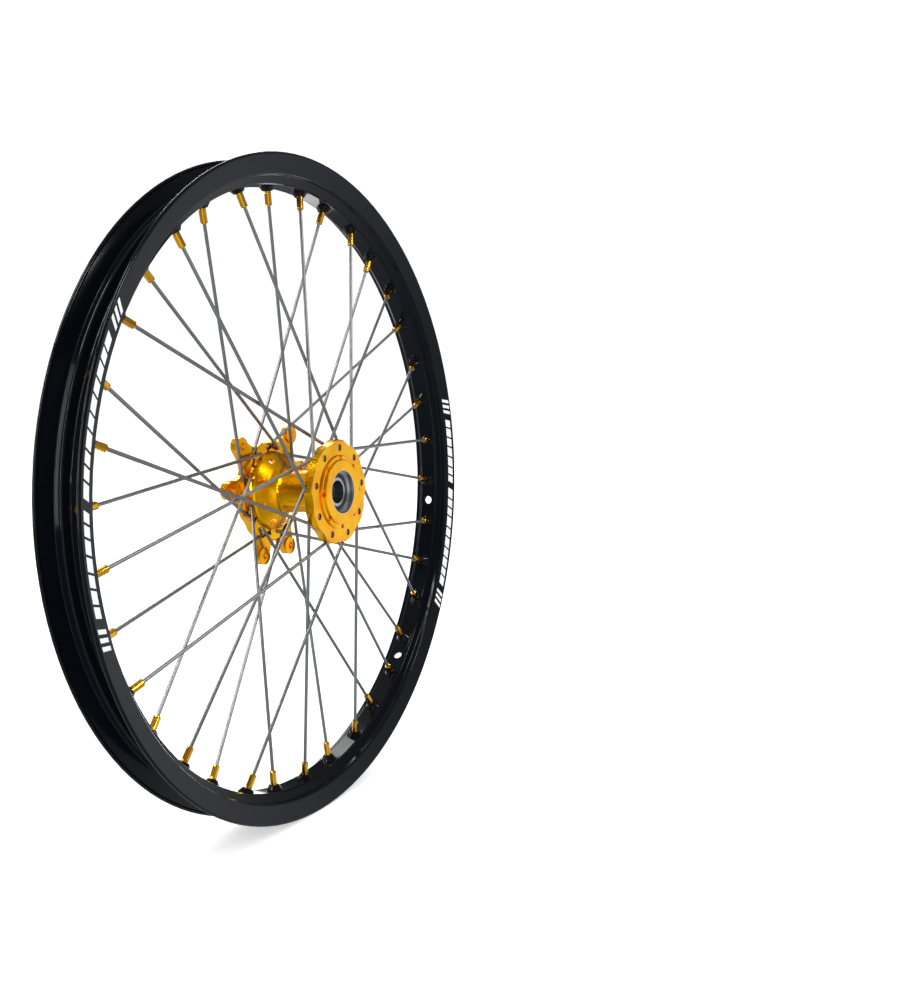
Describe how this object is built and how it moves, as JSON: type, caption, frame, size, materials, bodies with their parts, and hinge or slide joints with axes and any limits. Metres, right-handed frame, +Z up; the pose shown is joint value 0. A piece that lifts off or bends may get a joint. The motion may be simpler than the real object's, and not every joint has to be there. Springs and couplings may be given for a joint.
{
  "type": "spoked motorcycle wheel",
  "caption": "Laced off-road motorcycle front wheel: channel rim, crossed wire spokes with nipples, lugged disc-brake hub and sealed axle bearings.",
  "frame": {"origin": "centre of the wheel, on the axle axis in the middle of the rim's width", "axes": "+Y along the axle towards the brake disc side, +Z up, +X forwards on the motorcycle"},
  "size_m": [0.563, 0.087, 0.563],
  "materials": {
    "rim_gloss_black": "gloss black anodised aluminium",
    "gold_anodised": "satin gold anodised aluminium",
    "gold_nipple": "gold anodised aluminium",
    "spoke_steel": "satin stainless steel wire",
    "spacer_alloy": "machined aluminium",
    "bearing_steel": "ground bearing steel",
    "ball_steel": "polished bearing steel",
    "cage_polymer": "moulded polymer",
    "seal_rubber": "moulded nitrile rubber",
    "label_white": "printed vinyl"
  },
  "bodies": {
    "axle_core": {"spacer_tube": "spacer_alloy", "right_inner_race": "bearing_steel", "left_inner_race": "bearing_steel"},
    "wheel": {"rim": "rim_gloss_black", "hub": "gold_anodised", "spoke_01": "spoke_steel", "spoke_02": "spoke_steel", "spoke_03": "spoke_steel", "spoke_04": "spoke_steel", "spoke_05": "spoke_steel", "spoke_06": "spoke_steel", "spoke_07": "spoke_steel", "spoke_08": "spoke_steel", "spoke_09": "spoke_steel", "spoke_10": "spoke_steel", "spoke_11": "spoke_steel", "spoke_12": "spoke_steel", "spoke_13": "spoke_steel", "spoke_14": "spoke_steel", "spoke_15": "spoke_steel", "spoke_16": "spoke_steel", "spoke_17": "spoke_steel", "spoke_18": "spoke_steel", "spoke_19": "spoke_steel", "spoke_20": "spoke_steel", "spoke_21": "spoke_steel", "spoke_22": "spoke_steel", "spoke_23": "spoke_steel", "spoke_24": "spoke_steel", "spoke_25": "spoke_steel", "spoke_26": "spoke_steel", "spoke_27": "spoke_steel", "spoke_28": "spoke_steel", "spoke_29": "spoke_steel", "spoke_30": "spoke_steel", "spoke_31": "spoke_steel", "spoke_32": "spoke_steel", "spoke_33": "spoke_steel", "spoke_34": "spoke_steel", "spoke_35": "spoke_steel", "spoke_36": "spoke_steel", "nipples": "gold_nipple", "right_outer_race": "bearing_steel", "right_outer_seal": "seal_rubber", "right_inner_seal": "seal_rubber", "left_outer_race": "bearing_steel", "left_outer_seal": "seal_rubber", "left_inner_seal": "seal_rubber"},
    "right_ball_set": {"right_balls": "ball_steel", "right_cage": "cage_polymer"},
    "left_ball_set": {"left_balls": "ball_steel", "left_cage": "cage_polymer"}
  },
  "joints": [
    {"name": "wheel_spin", "type": "hinge", "parent": "axle_core", "child": "wheel", "pos_m": [0, 0, 0], "axis": [0, 1, 0], "continuous": true},
    {"name": "right_cage_spin", "type": "hinge", "parent": "axle_core", "child": "right_ball_set", "pos_m": [0, -0.0332, 0], "axis": [0, 1, 0], "continuous": true},
    {"name": "left_cage_spin", "type": "hinge", "parent": "axle_core", "child": "left_ball_set", "pos_m": [0, 0.0332, 0], "axis": [0, 1, 0], "continuous": true}
  ],
  "couplings": [
    {"joint": "right_cage_spin", "follows": "wheel_spin", "ratio": 0.5835},
    {"joint": "left_cage_spin", "follows": "wheel_spin", "ratio": 0.5835}
  ]
}
